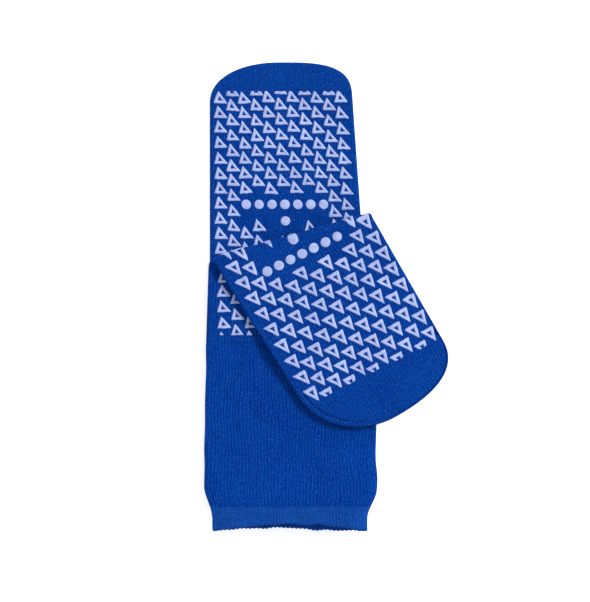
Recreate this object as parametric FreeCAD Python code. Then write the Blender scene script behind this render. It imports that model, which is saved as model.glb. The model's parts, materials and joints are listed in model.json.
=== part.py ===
import FreeCAD, Part
import math
import os

# A pair of slipper socks with tread printed on both faces, laid down one on the other. Both lie flat, sole up.
# The front half of the upper sock is folded over, so that its instep faces up.
# +X is across the socks, +Y from the cuffs towards the lower sock's toe, +Z up from the surface they lie on.

Vector = FreeCAD.Vector
Z_AXIS = Vector(0, 0, 1)

# ---- Fabric and print -------------------------------------------------------------------------------------------
PLY = 1.8                    # thickness of the knit
CAVITY = 0.6                 # space left between the two plies of a flat sock
SOCK_THICKNESS = 2 * PLY + CAVITY
MARK_HEIGHT = 0.4            # how far the print stands out of the knit
MARK_SINK = 0.3              # how far it has soaked into the knit
CLEARANCE = 0.3              # between things that move apart
EDGE_ROUND = 0.45 * SOCK_THICKNESS
LAYER_PITCH = SOCK_THICKNESS + 2 * MARK_HEIGHT + CLEARANCE

# ---- Cuff: a turned double welt round a mouth that gapes -------------------------------------------------------
WELT_LAYER = 0.9
WELT_SLOT = 0.6              # between the two layers of the welt, filled by the elastic threads
CUFF_WALL = 2 * WELT_LAYER + WELT_SLOT
MOUTH_GAP = 5.0
CUFF_LENGTH = 17.0
ELASTIC_WIDTH = 1.0
ELASTIC_COUNT = 4
WALL_CHANGE = 12.0           # length of leg over which its wall thickens towards the cuff
GAPE_START = -87.0           # Y where a leg starts to open towards its mouth
GAPE_END = -132.0            # Y where it is fully open
TUCK_START = (32.0, 23.0)    # from the mouth to where the cuff starts to draw the left and the right edge in
TUCK_END = (14.0, 12.5)      # and to where it has drawn them in
LEG_STATIONS = 14
CUFF_STATIONS = 5

# ---- Plan of the lower sock -------------------------------------------------------------------------------------
LOWER_LEFT = -75.7
LOWER_FOOT_RIGHT = 28.7      # where the foot meets the leg
LOWER_TOE_RIGHT = 18.2
LOWER_TOE_END = 152.8
LOWER_TOE_REACH = (27.0, 27.0)   # length of the left and the right shoulder of the toe
LOWER_TOE_POWER = (2.2, 2.8)     # 2 is an ellipse, and more is squarer
LOWER_LEG_RIGHT = 30.5
LOWER_MOUTH = -146.0
LOWER_TUCK = 5.0             # how far the cuff draws each edge in

# ---- Plan of the upper sock -------------------------------------------------------------------------------------
UPPER_LEG_LEFT = -79.0
UPPER_LEG_RIGHT = 32.8
UPPER_HEEL_LEFT = -77.0      # edges of the foot at the middle of the fold
UPPER_HEEL_RIGHT = 26.3
UPPER_LEG_WIDE = -87.0       # Y where the leg reaches its full width
UPPER_MOUTH = -152.8
UPPER_MOUTH_LEFT = -73.2
UPPER_MOUTH_RIGHT = 27.0

FOOT_START = -30.0           # Y where the leg ends and the foot begins, on both socks
END_SPARE = 20.0             # drawn past an end that is then trimmed
TOE_LENGTH = 17.8
SEAM_INSET = 2.6             # from the edge of the toe
SEAM_WIDTH = 1.2
SEAM_START = 2.0             # from where the toe begins
SHOULDER_STEPS = 9           # points along one shoulder of a toe

# ---- Fold of the upper sock, and the forefoot in front of it ----------------------------------------------------
FOLD_CENTRE = Vector(-24.4, 35.0, 0)
FOLD_ANGLE = 16.1            # degrees from +X to the fold line
FOREFOOT_ANGLE = -150.0      # degrees that turn a forefoot drawn toe up into its folded place
FOLD_GAP = 0.3               # left beside the fold line
FOLD_LEFT = -76.0            # ends of the folded loop
FOLD_RIGHT = 27.5
FOREFOOT_LENGTH = 132.8
FOREFOOT_LEFT = -55.4        # at the toe, in the forefoot's own frame, toe up
FOREFOOT_RIGHT = 44.7
FOREFOOT_HEEL_RIGHT = 47.6   # behind the fold
FOREFOOT_TOE_REACH = (29.0, 45.0)
FOREFOOT_TOE_POWER = (2.5, 2.0)

# ---- Tread ------------------------------------------------------------------------------------------------------
MARK_BASE = 9.0
MARK_APEX = -2.0             # how far the apex stands to one side
MARK_HOLE = 0.3              # size of the hole in a mark, as a share of the mark
MARK_COLUMNS = 11            # neighbouring columns stand half a row apart
FIRST_COLUMN = 0.07          # share of the foot's width from each edge to the middle of its outermost column
TREAD_END = -25.5            # Y where the tread ends towards the leg
UNFOLDED_TIP = 174.4         # Y of the upper sock's tip, were its foot laid straight
MARK_FOLD_MARGIN = 6.5       # from the fold line to the middle of the nearest mark
DOT_FOLD_MARGIN = 3.7
DOT_RADIUS = 3.2
DOT_PITCH = 8.4
DOT_COUNT = 7
SINGLE_DOT_DROP = 10.8       # from the row of dots to the single one
PANEL_HALF_WIDTH = 31.0
SINGLE_DOT_ROOM = 12.0       # round the single dot, for the middles of the marks
# Distances from the tip of the toe, the height of a mark and the row pitch, on each face.
SOLE = {"start": 18.2, "rise": 8.2, "row": 9.88, "panel": 94.0, "panel_half_height": 9.5, "dots": 92.8}
INSTEP = {"start": 33.6, "rise": 9.8, "row": 11.9, "panel": 122.5, "panel_half_height": 11.5, "dots": 122.8}

# ---- Heights ----------------------------------------------------------------------------------------------------
LOWER_BASE = 0.0
UPPER_BASE = LAYER_PITCH
FOREFOOT_BASE = 2 * LAYER_PITCH
FOLD_HEIGHT = (UPPER_BASE + SOCK_THICKNESS + FOREFOOT_BASE) / 2

BIG = 400.0                  # longer than the pair, for trimming blocks


def smoothstep(t):
    t = min(max(t, 0.0), 1.0)
    return t * t * (3 - 2 * t)


# ---- Outlines and plates: the parts that lie flat ---------------------------------------------------------------
def toe_points(toe_edges, tip, reach, power):
    """Points round a toe, from its left edge over the tip to its right edge."""
    centre = sum(toe_edges) / 2
    half_width = (toe_edges[1] - toe_edges[0]) / 2
    points = []
    for step in range(2 * SHOULDER_STEPS + 1):
        angle = math.pi * step / (2 * SHOULDER_STEPS)
        side = 0 if step < SHOULDER_STEPS else 1
        across = -math.copysign(abs(math.cos(angle)) ** (2 / power[side]), math.cos(angle))
        along = math.sin(angle) ** (2 / power[side])
        points.append(Vector(centre + half_width * across, tip - reach[side] * (1 - along), 0))
    return points


def drawn_in(points, inset):
    """Points moved inwards, square to the line through their neighbours."""
    moved = []
    for number, point in enumerate(points):
        before = points[max(number - 1, 0)]
        after = points[min(number + 1, len(points) - 1)]
        along = (after - before).normalize()
        if number in (0, len(points) - 1):
            along = Vector(0, 1 if number == 0 else -1, 0)
        moved.append(point + Vector(along.y, -along.x, 0) * inset)
    return moved


def foot_outline(toe_edges, heel_edges, heel, tip, reach, power, inset):
    """Face of a foot drawn toe up, from the line y = heel to the tip, drawn in all round but at the heel."""
    points = drawn_in(toe_points(toe_edges, tip, reach, power), inset)
    toe = Part.BSplineCurve()
    toe.interpolate(points)
    heel_right = Vector(heel_edges[1] - inset, heel, 0)
    heel_left = Vector(heel_edges[0] + inset, heel, 0)
    corners = [points[-1], heel_right, heel_left, points[0]]
    edges = [toe.toShape()]
    for start, end in zip(corners, corners[1:]):
        edges.append(Part.makeLine(start, end))
    return Part.Face(Part.Wire(edges))


def slab(outline, base, thickness):
    solid = outline.extrude(Vector(0, 0, thickness))
    solid.translate(Vector(0, 0, base))
    return solid


def flat_tube(outline, space, base):
    """A sock lying flat over an outline: two plies with rounded edges, and a thin space between them."""
    plate = slab(outline, base, SOCK_THICKNESS)
    rims = [edge for edge in plate.Edges if edge.BoundBox.ZLength < 1e-6]
    plate = plate.makeFillet(EDGE_ROUND, rims).Solids[0]
    return plate.cut(slab(space, base + PLY, CAVITY))


def half_space(y_low, y_high):
    """A block between two values of y, wide and tall enough to trim any piece."""
    return Part.makeBox(BIG, y_high - y_low, BIG, Vector(-BIG / 2, y_low, -BIG / 2))


def behind_fold():
    """A block on the leg's side of the fold line, where both the heel and the folded forefoot lie."""
    block = half_space(-BIG, -FOLD_GAP)
    block.rotate(Vector(0, 0, 0), Z_AXIS, FOLD_ANGLE)
    block.translate(FOLD_CENTRE)
    return block


def fold_place(shape):
    """Turns a shape drawn in the forefoot's own frame into its folded place."""
    placed = shape.copy()
    placed.rotate(Vector(0, 0, 0), Z_AXIS, FOREFOOT_ANGLE)
    placed.translate(FOLD_CENTRE)
    return placed


# ---- Tubes that open towards a mouth ----------------------------------------------------------------------------
def stadium(y, left, right, bottom, top):
    """A flattened ring's outline across the sock at y: two straight lines joined by two half circles."""
    radius = (top - bottom) / 2
    middle = (top + bottom) / 2
    low_left = Vector(left + radius, y, bottom)
    low_right = Vector(right - radius, y, bottom)
    high_left = Vector(left + radius, y, top)
    high_right = Vector(right - radius, y, top)
    edges = [
        Part.makeLine(low_left, low_right),
        Part.Arc(low_right, Vector(right, y, middle), high_right).toShape(),
        Part.makeLine(high_right, high_left),
        Part.Arc(high_left, Vector(left, y, middle), low_left).toShape(),
    ]
    return Part.Wire(edges)


def open_tube(sections, inset, wall):
    """Ruled tube through sections (y, left, right, bottom, top), from inset inside their outline, wall thick."""
    shells = []
    for depth in (inset, inset + wall):
        wires = []
        for y, left, right, bottom, top in sections:
            wires.append(stadium(y, left + depth, right - depth, bottom + depth, top - depth))
        shells.append(Part.makeLoft(wires, True, True))
    return shells[0].cut(shells[1])


def mouth_gap(y):
    """Height of the space inside a leg at y."""
    share = smoothstep((GAPE_START - y) / (GAPE_START - GAPE_END))
    return CAVITY + share * (MOUTH_GAP - CAVITY)


def leg_height(y, cuff_start):
    """Height of a leg at y."""
    thickening = smoothstep((cuff_start + WALL_CHANGE - y) / WALL_CHANGE)
    wall = PLY + thickening * (CUFF_WALL - PLY)
    return 2 * wall + mouth_gap(y)


def tucks_at(y, mouth):
    """Shares of the cuff's tuck that the left and the right edge have at y."""
    return [smoothstep((mouth + start - y) / (start - end)) for start, end in zip(TUCK_START, TUCK_END)]


def lower_edges(y):
    """Left and right edge of the lower leg and cuff at y."""
    spread = smoothstep((FOOT_START - y) / -FOOT_START)
    right = LOWER_FOOT_RIGHT + spread * (LOWER_LEG_RIGHT - LOWER_FOOT_RIGHT)
    tucks = tucks_at(y, LOWER_MOUTH)
    return LOWER_LEFT + LOWER_TUCK * tucks[0], right - LOWER_TUCK * tucks[1]


def upper_edges(y):
    """Left and right edge of the upper sock behind the fold at y."""
    fold_y = FOLD_CENTRE.y
    spread = min((fold_y - y) / (fold_y - UPPER_LEG_WIDE), 1.0)
    left = UPPER_HEEL_LEFT + spread * (UPPER_LEG_LEFT - UPPER_HEEL_LEFT)
    right = UPPER_HEEL_RIGHT + spread * (UPPER_LEG_RIGHT - UPPER_HEEL_RIGHT)
    tucks = tucks_at(y, UPPER_MOUTH)
    left += tucks[0] * (UPPER_MOUTH_LEFT - UPPER_LEG_LEFT)
    right += tucks[1] * (UPPER_MOUTH_RIGHT - UPPER_LEG_RIGHT)
    return left, right


def lower_section(y):
    left, right = lower_edges(y)
    return y, left, right, LOWER_BASE, LOWER_BASE + leg_height(y, LOWER_MOUTH + CUFF_LENGTH)


def upper_section(y):
    """The upper leg follows the top of the lower one, and then stays level past its mouth."""
    left, right = upper_edges(y)
    support = leg_height(max(y, LOWER_MOUTH), LOWER_MOUTH + CUFF_LENGTH)
    bottom = support + LAYER_PITCH - SOCK_THICKNESS
    return y, left, right, bottom, bottom + leg_height(y, UPPER_MOUTH + CUFF_LENGTH)


def stations(start, end, count):
    return [start + (end - start) * step / count for step in range(count + 1)]


def leg(section, mouth):
    """Leg tube from the foot to the cuff, its wall thickened where the welt begins."""
    cuff_start = mouth + CUFF_LENGTH
    ys = stations(FOOT_START, cuff_start, LEG_STATIONS)
    outer = Part.makeLoft([stadium(*section(y)) for y in ys], True, True)
    inner = []
    for y in ys:
        _, left, right, bottom, top = section(y)
        wall = (top - bottom - mouth_gap(y)) / 2
        inner.append(stadium(y, left + wall, right - wall, bottom + wall, top - wall))
    return outer.cut(Part.makeLoft(inner, True, True))


def cuff(section, mouth):
    """Turned welt: an outer and an inner layer, joined at the mouth, with a slot between them."""
    sections = [section(y) for y in stations(mouth + CUFF_LENGTH, mouth, CUFF_STATIONS)]
    slot = [section(y) for y in stations(mouth + CUFF_LENGTH, mouth + WELT_LAYER, CUFF_STATIONS)]
    return open_tube(sections, 0, CUFF_WALL).cut(open_tube(slot, WELT_LAYER, WELT_SLOT))


def cuff_elastic(section, mouth):
    """Elastic threads that run round the cuff in the slot of the welt."""
    rings = []
    pitch = (CUFF_LENGTH - 3 * WELT_LAYER) / ELASTIC_COUNT
    for number in range(ELASTIC_COUNT):
        start = mouth + 2 * WELT_LAYER + number * pitch
        ring = [section(start), section(start + ELASTIC_WIDTH)]
        rings.append(open_tube(ring, WELT_LAYER, WELT_SLOT))
    return Part.makeCompound(rings)


# ---- Tread ------------------------------------------------------------------------------------------------------
def mark(centre, rise, base):
    """One tread mark: a hollow three-sided ring lying at base."""
    corners = [(-MARK_BASE / 2, -rise / 2), (MARK_BASE / 2, -rise / 2), (MARK_APEX, rise / 2)]
    middle_x = sum(corner[0] for corner in corners) / 3
    middle_y = sum(corner[1] for corner in corners) / 3
    rings = []
    for share in (1.0, MARK_HOLE):
        points = []
        for x, y in corners:
            across = middle_x + share * (x - middle_x)
            along = middle_y + share * (y - middle_y)
            points.append(Vector(centre[0] + across, centre[1] + along, base))
        rings.append(Part.makePolygon(points + points[:1]))
    return Part.Face(rings).extrude(Vector(0, 0, MARK_HEIGHT + MARK_SINK))


def dot(centre, base):
    """One round grip dot lying at base."""
    return Part.makeCylinder(DOT_RADIUS, MARK_HEIGHT + MARK_SINK, Vector(centre[0], centre[1], base))


def mark_centres(face, edges_at, tip, y_last):
    """Centres of the marks in staggered columns between two edges, with a plain panel left among them."""
    single_dot = dot_centres(face, edges_at, tip)[-1]
    centres = []
    for number in range(MARK_COLUMNS):
        share = FIRST_COLUMN + (1 - 2 * FIRST_COLUMN) * number / (MARK_COLUMNS - 1)
        y = tip - face["start"] - face["rise"] / 2 - (number % 2) * face["row"] / 2
        while y > y_last + face["rise"] / 2:
            left, right = edges_at(y)
            x = left + (right - left) * share
            beside = abs(x - (left + right) / 2) > PANEL_HALF_WIDTH
            apart = abs(y - (tip - face["panel"])) > face["panel_half_height"]
            if beside or (apart and math.dist((x, y), single_dot) > SINGLE_DOT_ROOM):
                centres.append((x, y))
            y -= face["row"]
    return centres


def dot_centres(face, edges_at, tip):
    """A row of dots across the panel, with a single one below it."""
    y = tip - face["dots"]
    middle = sum(edges_at(y)) / 2
    first = middle - DOT_PITCH * (DOT_COUNT - 1) / 2
    return [(first + DOT_PITCH * number, y) for number in range(DOT_COUNT)] + [(middle, y - SINGLE_DOT_DROP)]


def clear_of_fold(centres, margin, turn, offset):
    """Those centres that stay clear of the folded loop, once turned by an angle and moved by an offset."""
    kept = []
    for centre in centres:
        placed = FreeCAD.Rotation(Z_AXIS, turn).multVec(Vector(centre[0], centre[1], 0)) + offset
        if FreeCAD.Rotation(Z_AXIS, -FOLD_ANGLE).multVec(placed).y < -margin:
            kept.append(centre)
    return kept


def marks(centres, face, base):
    return Part.makeCompound([mark(centre, face["rise"], base) for centre in centres])


def dots(centres, base):
    return Part.makeCompound([dot(centre, base) for centre in centres])


# ---- Toe seam ---------------------------------------------------------------------------------------------------
def toe_seam(outline, y_start, base):
    """A low ridge that follows the edge of the toe, a little inside it; outline(inset) gives the toe's face."""
    height = MARK_HEIGHT + MARK_SINK
    outer = slab(outline(SEAM_INSET), base, height)
    inner = slab(outline(SEAM_INSET + SEAM_WIDTH), base, height)
    return outer.cut(inner).common(half_space(y_start, y_start + BIG))


# ---- The lower sock ---------------------------------------------------------------------------------------------
def lower_foot_edges(y):
    """Left and right edge of the lower foot at y, straight from its toe to its heel."""
    shoulder = LOWER_TOE_END - LOWER_TOE_REACH[1]
    share = min((shoulder - y) / (shoulder - FOOT_START + END_SPARE), 1.0)
    return LOWER_LEFT, LOWER_TOE_RIGHT + max(share, 0.0) * (LOWER_FOOT_RIGHT - LOWER_TOE_RIGHT)


def lower_outline(inset):
    toe_edges = (LOWER_LEFT, LOWER_TOE_RIGHT)
    foot_edges = (LOWER_LEFT, LOWER_FOOT_RIGHT)
    start = FOOT_START - END_SPARE
    return foot_outline(toe_edges, foot_edges, start, LOWER_TOE_END, LOWER_TOE_REACH, LOWER_TOE_POWER, inset)


def lower_sock():
    whole = flat_tube(lower_outline(0), lower_outline(PLY), LOWER_BASE)
    toe_line = LOWER_TOE_END - TOE_LENGTH
    top = LOWER_BASE + SOCK_THICKNESS - MARK_SINK
    sole = mark_centres(SOLE, lower_foot_edges, LOWER_TOE_END, TREAD_END)
    instep = mark_centres(INSTEP, lower_foot_edges, LOWER_TOE_END, TREAD_END)
    return {
        "lower_foot": whole.common(half_space(FOOT_START, toe_line)),
        "lower_toe": whole.common(half_space(toe_line, toe_line + BIG)),
        "lower_toe_seam": toe_seam(lower_outline, toe_line + SEAM_START, LOWER_BASE),
        "lower_leg": leg(lower_section, LOWER_MOUTH),
        "lower_cuff": cuff(lower_section, LOWER_MOUTH),
        "lower_cuff_elastic": cuff_elastic(lower_section, LOWER_MOUTH),
        "lower_sole_tread": marks(sole, SOLE, top),
        "lower_instep_tread": marks(instep, INSTEP, LOWER_BASE),
        "lower_sole_dots": dots(dot_centres(SOLE, lower_foot_edges, LOWER_TOE_END), top),
        "lower_instep_dots": dots(dot_centres(INSTEP, lower_foot_edges, LOWER_TOE_END), LOWER_BASE),
    }


# ---- The upper sock behind its fold -----------------------------------------------------------------------------
def heel_outline(inset):
    """Face of the upper foot behind its fold, with some to spare at both ends."""
    near = FOOT_START - END_SPARE
    far = FOLD_CENTRE.y + 2 * END_SPARE
    corners = []
    for y, side in ((near, 0), (near, 1), (far, 1), (far, 0)):
        shift = inset if side == 0 else -inset
        corners.append(Vector(upper_edges(y)[side] + shift, y, 0))
    return Part.Face(Part.makePolygon(corners + corners[:1]))


def upper_sock():
    whole = flat_tube(heel_outline(0), heel_outline(PLY), UPPER_BASE).common(behind_fold())
    centres = {}
    for name, face in (("sole", SOLE), ("instep", INSTEP)):
        every_mark = mark_centres(face, upper_edges, UNFOLDED_TIP, TREAD_END)
        centres[name] = clear_of_fold(every_mark, MARK_FOLD_MARGIN, 0, -FOLD_CENTRE)
    return {
        "upper_heel": whole.common(half_space(FOOT_START, BIG)),
        "upper_leg": leg(upper_section, UPPER_MOUTH),
        "upper_cuff": cuff(upper_section, UPPER_MOUTH),
        "upper_cuff_elastic": cuff_elastic(upper_section, UPPER_MOUTH),
        "upper_heel_sole_tread": marks(centres["sole"], SOLE, UPPER_BASE + SOCK_THICKNESS - MARK_SINK),
        "upper_heel_instep_tread": marks(centres["instep"], INSTEP, UPPER_BASE - MARK_HEIGHT),
    }


# ---- The folded forefoot of the upper sock ----------------------------------------------------------------------
def forefoot_edges(y):
    """Left and right edge of the forefoot at y, in its own frame."""
    shoulder = FOREFOOT_LENGTH - FOREFOOT_TOE_REACH[1]
    share = max((shoulder - y) / (shoulder + 2 * END_SPARE), 0.0)
    return FOREFOOT_LEFT, FOREFOOT_RIGHT + share * (FOREFOOT_HEEL_RIGHT - FOREFOOT_RIGHT)


def forefoot_outline(inset):
    edges = (FOREFOOT_LEFT, FOREFOOT_RIGHT)
    heel_edges = (FOREFOOT_LEFT, FOREFOOT_HEEL_RIGHT)
    start = -2 * END_SPARE
    return foot_outline(edges, heel_edges, start, FOREFOOT_LENGTH, FOREFOOT_TOE_REACH, FOREFOOT_TOE_POWER, inset)


def upper_forefoot():
    """Drawn toe up in its own frame, with the fold through the origin, and then turned into place."""
    whole = flat_tube(forefoot_outline(0), forefoot_outline(PLY), FOREFOOT_BASE)
    toe_line = FOREFOOT_LENGTH - TOE_LENGTH
    top = FOREFOOT_BASE + SOCK_THICKNESS - MARK_SINK
    under = FOREFOOT_BASE - MARK_HEIGHT
    no_move = Vector(0, 0, 0)
    centres = {}
    for name, face in (("sole", SOLE), ("instep", INSTEP)):
        every_mark = mark_centres(face, forefoot_edges, FOREFOOT_LENGTH, -END_SPARE)
        every_dot = dot_centres(face, forefoot_edges, FOREFOOT_LENGTH)
        centres[name + "_marks"] = clear_of_fold(every_mark, MARK_FOLD_MARGIN, FOREFOOT_ANGLE, no_move)
        centres[name + "_dots"] = clear_of_fold(every_dot, DOT_FOLD_MARGIN, FOREFOOT_ANGLE, no_move)
    drawn = {
        "forefoot": whole.common(half_space(-BIG, toe_line)),
        "forefoot_toe": whole.common(half_space(toe_line, toe_line + BIG)),
        "forefoot_toe_seam": toe_seam(forefoot_outline, toe_line + SEAM_START, top),
        "forefoot_sole_tread": marks(centres["sole_marks"], SOLE, under),
        "forefoot_instep_tread": marks(centres["instep_marks"], INSTEP, top),
        "forefoot_sole_dots": dots(centres["sole_dots"], under),
        "forefoot_instep_dots": dots(centres["instep_dots"], top),
    }
    placed = {name: fold_place(shape) for name, shape in drawn.items()}
    placed["forefoot"] = placed["forefoot"].common(behind_fold())
    return placed


def fold_loop():
    """The band of fabric that turns over at the fold: half a ring, bored along the fold line."""
    outer = FOREFOOT_BASE + SOCK_THICKNESS - FOLD_HEIGHT
    slant = math.cos(math.radians(FOLD_ANGLE))
    start = (FOLD_LEFT - FOLD_CENTRE.x) / slant
    length = (FOLD_RIGHT - FOLD_LEFT) / slant
    rings = []
    for radius in (outer, outer - SOCK_THICKNESS):
        rings.append(Part.makeCylinder(radius, length, Vector(start, 0, FOLD_HEIGHT), Vector(1, 0, 0)))
    ring = rings[0].cut(rings[1]).common(half_space(0, BIG))
    ring.rotate(Vector(0, 0, 0), Z_AXIS, FOLD_ANGLE)
    ring.translate(FOLD_CENTRE)
    return {"fold_loop": ring}


os.makedirs("parts", exist_ok=True)
for group in (lower_sock(), upper_sock(), upper_forefoot(), fold_loop()):
    for node, shape in group.items():
        shape.exportStep("parts/" + node + ".step")
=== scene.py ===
"""The looks of a pair of slipper socks, laid one on the other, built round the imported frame.

Lengths are in millimetres until a mesh is made. Each sock is one knitted tube, drawn as rows of
points: a row is a ring that runs across the sole side and back along the instep side. Rows run from
the mouth to the toe.
"""
import json
import math

import bpy
import numpy as np
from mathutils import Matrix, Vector


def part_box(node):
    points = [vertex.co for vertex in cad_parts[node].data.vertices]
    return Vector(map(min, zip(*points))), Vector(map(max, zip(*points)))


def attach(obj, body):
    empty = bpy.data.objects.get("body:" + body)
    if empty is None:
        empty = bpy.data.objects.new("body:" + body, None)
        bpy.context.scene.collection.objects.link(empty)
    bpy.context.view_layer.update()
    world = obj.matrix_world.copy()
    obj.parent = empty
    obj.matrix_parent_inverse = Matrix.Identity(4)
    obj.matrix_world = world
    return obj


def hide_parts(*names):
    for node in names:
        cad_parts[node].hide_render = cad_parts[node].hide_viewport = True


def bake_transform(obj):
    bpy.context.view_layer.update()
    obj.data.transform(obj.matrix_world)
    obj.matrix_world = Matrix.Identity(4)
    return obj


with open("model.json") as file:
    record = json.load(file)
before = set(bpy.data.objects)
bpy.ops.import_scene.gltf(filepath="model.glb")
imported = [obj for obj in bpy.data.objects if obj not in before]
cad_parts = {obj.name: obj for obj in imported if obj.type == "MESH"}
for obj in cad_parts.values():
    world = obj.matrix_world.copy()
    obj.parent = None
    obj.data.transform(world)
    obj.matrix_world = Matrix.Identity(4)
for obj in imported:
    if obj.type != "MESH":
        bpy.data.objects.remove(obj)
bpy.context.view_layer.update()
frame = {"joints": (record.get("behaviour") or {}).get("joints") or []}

MM = 0.001
TAU = 2 * math.pi


def box(node):
    """Lowest and highest corner of a CAD node, in millimetres."""
    low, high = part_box(node)
    return np.array(low) / MM, np.array(high) / MM


def joint(name):
    return next(item for item in frame["joints"] if item["name"] == name)


# ---- Driving dimensions ----
PLY = 1.8                        # thickness of the knit
CUFF_WALL = 2.4                  # of the turned welt
MARK_LIFT = 0.4                  # how far the print stands out
SEAM_INSET = 2.9                 # from the edge of the lower toe
EDGE_RADIUS = 2.6                # of the rounded edge of a flat sock
MOUTH_EDGE_RADIUS = 17.0         # of the edge beside an open mouth
THICKNESS = box("lower_foot")[1][2]
HALF = THICKNESS / 2

WALES = 50                       # columns of stitches across one face
POINTS_PER_WALE = 5
CUFF_WALES = 57                  # the cuff's columns are finer
CUFF_RELIEF = 0.75               # height of the cuff's ribs, as a share of the leg's
COURSE = 1.6                     # length of one row of stitches
WALE_RELIEF = 0.13               # height of the ribs of a leg
ROW = 0.9                        # length between two rows of points
INNER_ROWS = 8                   # rows of the inner surface of one piece
CUFF_INNER_ROWS = 14             # rows of points inside the mouth
CUFF_OUTER_ROWS = 20
FOLD_ROWS = 24

FOOT_START = box("lower_leg")[1][1]
TOE_LENGTH = 17.8                # of the toe's own knit

LOWER_TIP = box("lower_toe")[1][1]
LOWER_LEFT = box("lower_foot")[0][0]
LOWER_TOE_RIGHT = box("lower_toe")[1][0]
LOWER_FOOT_RIGHT = 28.7
LOWER_LEG_RIGHT = 30.5
LOWER_TUCK = 5.0                 # how far each edge draws in towards the mouth
LOWER_MOUTH = box("lower_cuff")[0][1]
LOWER_CUFF_TOP = box("lower_cuff")[1][1]
LOWER_SHOULDERS = ((27.0, 2.2), (27.0, 3.2))       # length and squareness of the left and right shoulder

UPPER_LEG = (-79.0, 32.8)        # left and right edge
UPPER_AT_FOLD = (-76.4, 26.3)
HEEL_FLARE = 3.2                 # how far the heel's covered edge widens by the middle of the fold
UPPER_LEG_WIDE = -87.0           # y where the leg has reached its full width
UPPER_MOUTH_EDGES = (-73.2, 27.0)
UPPER_MOUTH = box("upper_cuff")[0][1]
UPPER_CUFF_TOP = box("upper_cuff")[1][1]
TUCK_START = (30.0, 27.0)        # from the mouth to where the left and the right edge start to draw in
TUCK_END = (7.0, 9.5)

HEEL_MIDDLE = (box("upper_heel")[0][2] + box("upper_heel")[1][2]) / 2
FOREFOOT_MIDDLE = (box("forefoot")[0][2] + box("forefoot")[1][2]) / 2
FOLD = joint("unfold")
FOLD_CENTRE = np.array(FOLD["pos_m"]) / MM
FOLD_ALONG = -np.array(FOLD["axis"], float)
FOLD_ACROSS = np.array([-FOLD_ALONG[1], FOLD_ALONG[0], 0.0])
FOLD_RADIUS = (FOREFOOT_MIDDLE - HEEL_MIDDLE) / 2
FOREFOOT_ANGLE = math.radians(-150.0)
FOLD_SLOPE = math.tan(math.atan2(FOLD_ALONG[1], FOLD_ALONG[0]) - FOREFOOT_ANGLE)   # in that frame
FOLD_LENGTH = math.pi * FOLD_RADIUS
FOLD_GAP = 0.3                   # left between the heel and the forefoot once the fold has opened
KNIT_AT_FOLD = FOLD_CENTRE[1] + 5                  # running length of the knit where the fold starts
UPPER_SEED = 31                  # of the wandering of the upper sock's wales
FOREFOOT_TIP = 132.8
FOREFOOT_TOE = (44.7, -55.4)     # edges at the toe, in the forefoot's own frame, toe up
FOREFOOT_HEEL = (48.2, -55.4)    # edges at the fold
FOREFOOT_SHOULDERS = ((45.0, 2.0), (29.0, 2.5))

CLEAR = box("upper_heel")[0][2] - THICKNESS        # from the lower sock up to the upper one
GAPE = (-87.0, -132.0)           # where a leg starts to open and where it is fully open
FLAT_GAP = 0.6                   # between the plies of a leg
MOUTH_GAP = 5.0
WALL_CHANGE = 12.0               # length over which the wall thickens to the welt's


def smoothstep(t):
    t = np.clip(t, 0.0, 1.0)
    return t * t * (3 - 2 * t)


def mix(a, b, t):
    return a + (b - a) * t


def waves(x, y, length, seed, count=9):
    """Smooth irregular waves about 0, of about the given length and of height about 1."""
    rng = np.random.default_rng(seed)
    total = np.zeros(np.broadcast(x, y).shape)
    for _ in range(count):
        turn, phase = rng.uniform(0, TAU, 2)
        pitch = length * rng.uniform(0.6, 1.7)
        total = total + np.sin((x * math.cos(turn) + y * math.sin(turn)) * TAU / pitch + phase)
    return total / math.sqrt(count)


# ---- Points round a ring ----
def ring_shares():
    """Share of the width and side (1 sole, -1 instep, 0 edge) of each point round a ring."""
    columns = WALES * POINTS_PER_WALE
    near_edge = np.array([0.0, 0.0004, 0.0014, 0.0028])
    middle = np.arange(1, columns) / columns
    across = np.concatenate([near_edge, middle, 1 - near_edge[::-1]])
    side = np.concatenate([[0], np.ones(len(across) - 2), [0], -np.ones(len(across) - 2)])
    return np.concatenate([across, across[-2:0:-1]])[None, :], side[None, :]


ACROSS, SIDE = ring_shares()
COLUMNS = ACROSS.shape[1] // 2


def rounded(distance, radius):
    """Share of the full height at a distance from a rounded edge."""
    near = np.clip(1 - distance / radius, 0, 1)
    return (1 - near ** 2.3) ** (1 / 2.3)


# ---- The knit ----
def wale_number(across, along, seed):
    """Running number of the wale at a point; the wales wander a little."""
    wander = 0.30 * waves(across * 100, along, 34, seed) + 0.13 * waves(across * 100, along, 10, seed + 1)
    lean = 1.2 * smoothstep((across - 0.45) / 0.4) * np.sin(along / 21.0)
    return across * WALES + wander + lean


def relief(wales, along, seed, share=1.0):
    """Height of the ribs that the wales make, at a share of their full height."""
    uneven = 0.8 + 0.55 * waves(wales * 2.2, along, 7, seed + 2)
    return share * WALE_RELIEF * uneven * np.cos(TAU * wales) + 0.07 * waves(wales * 2.2, along, 4, seed + 3)


def foot_share(from_tip):
    """The ribs of a foot are lower than those of a leg, and fade towards its toe."""
    return mix(0.4, 0.6, smoothstep((from_tip - 8) / 30))


# ---- Legs and cuffs ----
def gape_at(y):
    """How far a leg has opened at y: 0 where it is flat, 1 where it is fully open."""
    return smoothstep((GAPE[0] - y) / (GAPE[0] - GAPE[1]))


def gap_at(y):
    return mix(FLAT_GAP, MOUTH_GAP, gape_at(y))


def wall_at(y, cuff_top):
    return mix(PLY, CUFF_WALL, smoothstep((cuff_top + WALL_CHANGE - y) / WALL_CHANGE))


def leg_height(y, cuff_top):
    return 2 * wall_at(y, cuff_top) + gap_at(y)


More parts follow.
